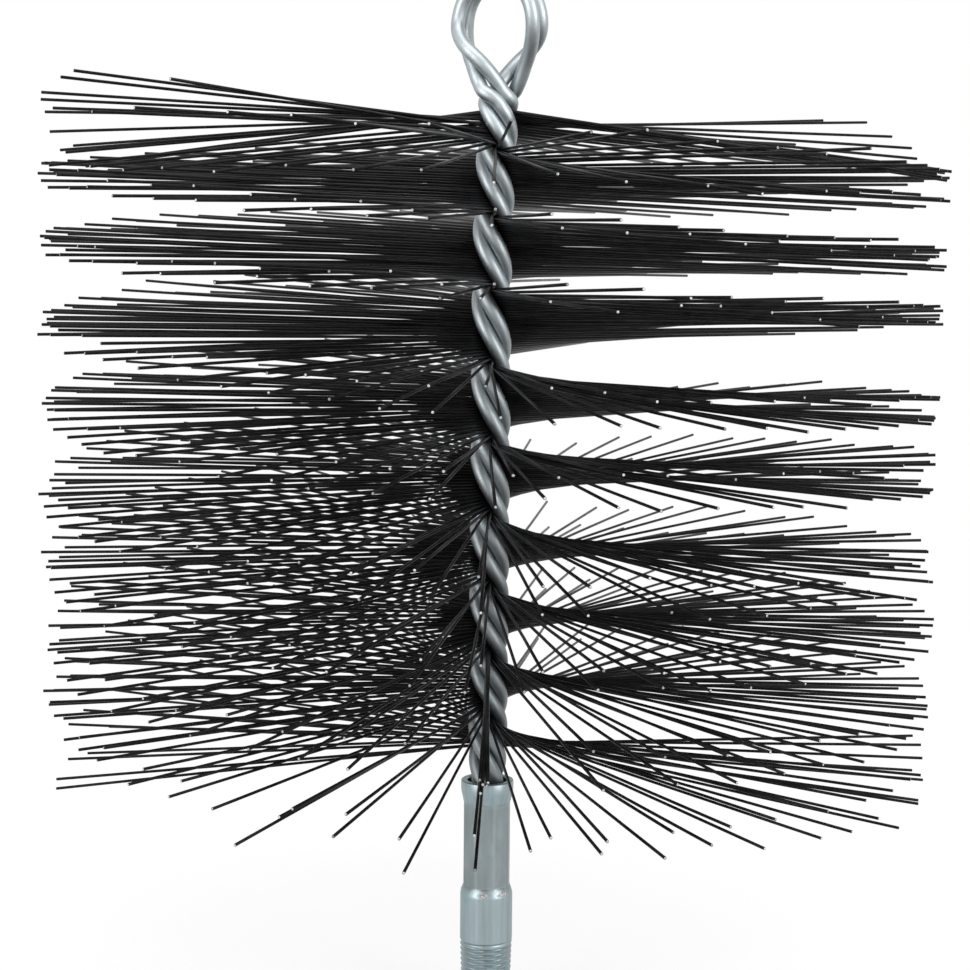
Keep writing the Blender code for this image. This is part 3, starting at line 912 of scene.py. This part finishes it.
@dataclass
class Ferrule:
    """Zinc-plated tube: tapered thread, plain barrel, crimp of eight flats and flared mouth."""

    barrel_radius: float = 6.853 * MM
    bore_radius: float = 4.653 * MM
    socket_radius: float = 4.953 * MM
    flats: int = 8
    crimp_turn: float = math.radians(-96)
    flat_radius: float = 5.88 * MM
    ridge_radius: float = 6.2 * MM
    flat_step: float = 0.7 * MM
    thread_length: float = 16.4 * MM
    thread_pitch: float = 1.411 * MM
    thread_depth: float = 0.62 * MM
    thread_flat_share: float = 0.12
    thread_runout: float = 1.5 * MM
    runout_depth_share: float = 0.45
    thread_taper: float = 1 / 16
    chamfer: float = 1.3 * MM
    shoulder: float = 28.3 * MM
    crimp_from: float = 31.2 * MM
    crimp_to: float = 52.9 * MM
    rim: float = 57 * MM
    top: float = 59 * MM
    edge_drop: float = 0.35 * MM
    lip_drop: float = 0.12 * MM
    lip_inset: float = 0.1 * MM
    mouth_round: float = 0.25 * MM
    mouth_radius: float = 5.15 * MM
    mouth_depth: float = 4 * MM
    socket_floor: float = 23 * MM
    burr_rise: float = 0.36 * MM
    burr_height: float = 1.3 * MM
    burr_foot: float = 29.0 * MM
    burr_outline: tuple[tuple[float, float], ...] = (
        (-0.4, 0.0), (0.55, 0.1), (1.0, 0.45), (0.5, 0.85), (-0.4, 1.0),
    )
    burr_spans: tuple[tuple[float, float], ...] = (
        (math.radians(-112), math.radians(-82)),
        (math.radians(-67), math.radians(-32)),
        (math.radians(60), math.radians(84)),
        (math.radians(142), math.radians(171)),
    )
    seed: int = 5
    burr_foot_range: tuple[float, float] = (-0.2, 0.25)
    burr_end_share: float = 0.15
    burr_bluntness: float = 0.6
    burr_steps: int = 16
    sides: int = 144
    levels_per_pitch: int = 8
    thread_gap: float = 0.4 * MM
    barrel_step: float = 2 * MM
    flat_level_step: float = 2.5 * MM
    fine_step: float = 0.2 * MM
    fine_run: float = 0.6 * MM
    fine_gap: float = 0.4 * MM
    smooth_below: float = math.radians(24)

    def crimped_radius(self, angle: float, height: float) -> float:
        """Outer radius above the thread: a drawn-in neck with flats pressed into it."""
        drawn = min(
            ease((height - self.shoulder) / (self.crimp_from - self.shoulder)),
            ease((self.rim - height) / (self.rim - self.crimp_to)),
        )
        neck = self.barrel_radius + (self.ridge_radius - self.barrel_radius) * drawn
        sector = math.tau / self.flats
        from_flat = (angle - self.crimp_turn + sector / 2) % sector - sector / 2
        flat = self.flat_radius / math.cos(from_flat)
        pressed = ease((height - self.crimp_from) / self.flat_step + 1)
        pressed *= ease((self.crimp_to - height) / self.flat_step + 1)
        return neck - max(neck - flat, 0) * pressed

    def thread_radius(self, angle: float, height: float) -> float:
        """Outer radius in the threaded end, whose groove fades out towards the barrel."""
        crest = self.barrel_radius - self.thread_taper / 2 * (self.thread_length - height)
        turn = (height / self.thread_pitch - angle / math.tau) % 1
        rise = abs(2 * turn - 1)
        flank = min(max((rise - self.thread_flat_share) / (1 - 2 * self.thread_flat_share), 0), 1)
        runout = ease((self.thread_length - height) / self.thread_runout)
        depth_share = self.runout_depth_share + (1 - self.runout_depth_share) * runout
        return crest - self.thread_depth * depth_share * (1 - flank)

    def outer_radius(self, angle: float, height: float) -> float:
        """Outer radius anywhere on the ferrule."""
        if height >= self.thread_length:
            radius = self.crimped_radius(angle, height)
        else:
            radius = self.thread_radius(angle, height)
        return min(radius, self.barrel_radius - self.chamfer + height)

    def levels(self) -> list[float]:
        """Heights of the outer rings, fine along the thread and the crimp."""
        step = self.thread_pitch / self.levels_per_pitch
        coarse_from = self.crimp_from + self.fine_run + self.fine_gap
        coarse_to = self.crimp_to - self.fine_run - self.fine_gap
        runs = (
            (0, self.thread_length + step, step),
            (self.thread_length + self.thread_gap, self.shoulder, self.barrel_step),
            (self.shoulder, self.crimp_from + self.fine_run, self.fine_step),
            (coarse_from, coarse_to, self.flat_level_step),
            (self.crimp_to - self.fine_run, self.rim + self.fine_step / 2, self.fine_step),
        )
        found = [float(height) for run in runs for height in np.arange(*run)]
        return found + [self.top - self.edge_drop]

    def burr(self, first: float, last: float, draw: random.Random) -> bpy.types.Object:
        """Raise one torn lip of metal where the jaws bit into the shoulder.

        Args:
            first: Angle at which it starts.
            last: Angle at which it ends.
            draw: The source of its uneven edge.

        Returns:
            The lip, a closed body half sunk into the tube.
        """
        deselect_all()
        bpy.ops.mesh.primitive_circle_add(vertices=3, radius=self.burr_rise)
        piece = bpy.context.object
        mesh = bmesh.new()
        rings = []
        for step in range(self.burr_steps + 1):
            share = step / self.burr_steps
            angle = first + (last - first) * share
            arch = math.sin(math.pi * share) ** self.burr_bluntness
            full = self.burr_end_share + (1 - self.burr_end_share) * arch
            rise = self.burr_rise * full * draw.uniform(0.45, 1.0)
            tall = self.burr_height * full * draw.uniform(0.5, 1.0)
            low = self.burr_foot + draw.uniform(*self.burr_foot_range) * MM
            ring = []
            for out, up in self.burr_outline:
                height = low + tall * up
                radius = self.crimped_radius(angle, height) + rise * out
                ring.append(mesh.verts.new(round_point(radius, angle, height)))
            rings.append(ring)
        for ring, following in zip(rings, rings[1:]):
            for spot, corner in enumerate(ring):
                beside = (spot + 1) % len(ring)
                mesh.faces.new((corner, following[spot], following[beside], ring[beside]))
        mesh.faces.new(rings[0])
        mesh.faces.new(rings[-1][::-1])
        bmesh.ops.recalc_face_normals(mesh, faces=mesh.faces)
        mesh.to_mesh(piece.data)
        mesh.free()
        return piece

    def build(self, finish: bpy.types.Material, torn: bpy.types.Material) -> bpy.types.Object:
        """Form the tube ring by ring, outside and inside, and raise its burrs.

        Args:
            finish: Its material.
            torn: The material of the burrs.

        Returns:
            The finished piece.
        """
        draw = random.Random(self.seed)
        burrs = [self.burr(first, last, draw) for first, last in self.burr_spans]
        for burr in burrs:
            burr.data.materials.append(torn)
        deselect_all()
        bpy.ops.mesh.primitive_circle_add(vertices=self.sides, radius=self.bore_radius)
        piece = bpy.context.object
        piece.name = "crimped_ferrule"
        mesh = bmesh.new()
        rings = []
        angles = [math.tau * side / self.sides for side in range(self.sides)]

        def add_ring(height: float, radius_at: Callable[[float], float]) -> None:
            """Add one ring of vertices."""
            places = [round_point(radius_at(angle), angle, height) for angle in angles]
            rings.append([mesh.verts.new(place) for place in places])

        for height in self.levels():
            add_ring(height, lambda angle, height=height: self.outer_radius(angle, height))
        round_rings = (
            (self.top - self.lip_drop, self.barrel_radius - self.lip_inset),
            (self.top, self.barrel_radius - self.edge_drop),
            (self.top, self.mouth_radius + self.mouth_round),
            (self.top - self.mouth_round, self.mouth_radius),
            (self.top - self.mouth_depth, self.socket_radius),
            (self.socket_floor, self.socket_radius),
            (self.socket_floor, self.bore_radius),
            (0, self.bore_radius),
        )
        for height, radius in round_rings:
            add_ring(height, lambda angle, radius=radius: radius)
        for ring, following in zip(rings, rings[1:] + rings[:1]):
            for side in range(self.sides):
                beside = (side + 1) % self.sides
                mesh.faces.new((ring[side], ring[beside], following[beside], following[side]))
        mesh.normal_update()
        mesh.to_mesh(piece.data)
        mesh.free()
        piece.data.materials.append(finish)
        make_active(piece)
        bpy.ops.object.shade_smooth_by_angle(angle=self.smooth_below)
        for burr in burrs:
            burr.select_set(True)
        bpy.ops.object.join()
        return bpy.context.object


@dataclass(frozen=True)
class SoftBox:
    """One lamp: its name, where it stands, its width and height, and its power in watts."""

    name: str
    place: Point
    size: tuple[float, float]
    watts: float


@dataclass
class Studio:
    """Pale floor, soft light from both sides and above, and the camera."""

    camera_place: Point = (-1.28 * MM, -571.5 * MM, 209 * MM)
    camera_pitch: float = math.radians(7.24)
    camera_roll: float = math.radians(0.5)
    lens_mm: float = 83.21
    sensor_mm: float = 36.0
    clip_range: tuple[float, float] = (0.01, 50)
    floor_size: float = 6.0
    floor_height: float = -0.2 * MM
    floor_tones: tuple[Colour, Colour] = ((0.93, 0.93, 0.93), (0.95, 0.95, 0.95))
    shadow_share: float = 0.15
    shadow_fade: tuple[float, float] = (0.15, 0.9)
    front_level: float = 0.36
    above_gain: float = 0.44
    lamp_aim: Point = (0, 0, 0.14)
    lamps: tuple[SoftBox, ...] = (
        SoftBox("soft_box_left", (-0.85, -0.75, 0.45), (0.55, 0.9), 7.8),
        SoftBox("soft_box_right", (0.90, -0.70, 0.45), (0.55, 0.9), 8.5),
        SoftBox("soft_box_above", (0.1, -0.35, 1.25), (1.1, 0.7), 9.0),
    )

    def camera(self) -> None:
        """Set the camera at the photograph's viewpoint."""
        bpy.ops.object.camera_add(location=self.camera_place)
        camera = bpy.context.object
        camera.rotation_mode = "XYZ"
        turn = Matrix.Rotation(math.pi / 2 - self.camera_pitch, 4, "X")
        turn = turn @ Matrix.Rotation(self.camera_roll, 4, "Z")
        camera.rotation_euler = turn.to_euler()
        camera.data.lens = self.lens_mm
        camera.data.sensor_width = self.sensor_mm
        camera.data.clip_start, camera.data.clip_end = self.clip_range
        bpy.context.scene.camera = camera

    def lamp(self, box: SoftBox) -> None:
        """Add one soft box that faces the brush."""
        aim = Vector(self.lamp_aim) - Vector(box.place)
        bpy.ops.object.light_add(type="AREA", location=box.place)
        lamp = bpy.context.object
        lamp.name = box.name
        lamp.rotation_euler = aim.to_track_quat("-Z", "Y").to_euler()
        lamp.data.shape = "RECTANGLE"
        lamp.data.size, lamp.data.size_y = box.size
        lamp.data.energy = box.watts

    def world(self) -> None:
        """White behind the brush, softer grey light from the sides and the front."""
        world = bpy.data.worlds.new("studio")
        bpy.context.scene.world = world
        world.use_nodes = True
        shader = Shader(world.node_tree)
        way = shader.node("ShaderNodeTexCoord", output="Generated")
        depth = shader.node("ShaderNodeSeparateXYZ", inputs={0: way}, output=1)
        height = shader.node("ShaderNodeSeparateXYZ", inputs={0: way}, output=2)
        behind = depth.ramp(0.25, 0.8)
        above = height.ramp(0.1, 0.9)
        level = self.front_level + behind * (1 - self.front_level)
        level = level + (1 - behind) * above * self.above_gain
        seen = shader.sight()
        inputs = {"Color": (1, 1, 1, 1), "Strength": seen + (1 - seen) * level}
        glow = shader.node("ShaderNodeBackground", inputs=inputs)
        shader.node("ShaderNodeOutputWorld", inputs={"Surface": glow})

    def floor(self) -> None:
        """Lay a pale floor that keeps a faint shadow near the brush."""
        place = (0, 0, self.floor_height)
        bpy.ops.mesh.primitive_plane_add(size=self.floor_size, location=place)
        floor = bpy.context.object
        floor.name = "studio_floor"
        material, shader = new_shader("pale_floor")
        colour = shader.tint(shader.noise(shader.place(), 3), *self.floor_tones)
        matt = shader.node("ShaderNodeBsdfDiffuse", inputs={"Color": colour})
        white = shader.node("ShaderNodeEmission", inputs={"Strength": 1.0})
        length = {"operation": "LENGTH"}
        away = shader.node("ShaderNodeVectorMath", length, {0: shader.place()}, "Value")
        faded = away.ramp(*self.shadow_fade) * self.shadow_share
        share = shader.sight() * (faded + (1 - self.shadow_share))
        mixed = shader.node("ShaderNodeMixShader", inputs={0: share, 1: matt, 2: white})
        shader.node("ShaderNodeOutputMaterial", inputs={"Surface": mixed})
        floor.data.materials.append(material)

    def build(self) -> None:
        """Set the whole studio."""
        deselect_all()
        self.camera()
        self.world()
        self.floor()
        for box in self.lamps:
            self.lamp(box)


def settle(piece: bpy.types.Object, slot: Slot, *nodes: str) -> None:
    """Fix a finished piece to the body, in place of the nodes that it stands for.

    Args:
        piece: The finished piece.
        slot: The slot that its finish belongs to; not used.
        nodes: The nodes that it replaces.
    """
    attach(piece, BODY)
    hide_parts(*nodes)
    LOG.info("%s stands for %s, %d faces", piece.name, ", ".join(nodes), len(piece.data.polygons))


def main() -> None:
    """Build the studio and every piece of the brush."""
    logging.basicConfig(level=logging.INFO, format="%(name)s: %(message)s")
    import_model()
    bpy.context.scene.view_settings.view_transform = "Standard"
    Studio().build()
    twist = Twist()
    wires = CoreWires(twist)
    galvanised = GalvanisedWire().material()
    settle(wires.build("core_wire_front", 1, galvanised), Slot.WIRE, "stem_wire_front")
    settle(wires.build("core_wire_back", -1, galvanised), Slot.WIRE, "stem_wire_back")
    ferrule = Ferrule().build(ZincPlate().material(), CrimpBurr().material())
    settle(ferrule, Slot.ZINC, "threaded_ferrule")
    rows = BristleRows(twist).build((TemperedWire().material(), CutEnd().material()))
    for number, row in enumerate(rows, 1):
        settle(row, Slot.BRISTLE, f"bristle_row_{number:02d}")


if __name__ == "__main__":
    main()
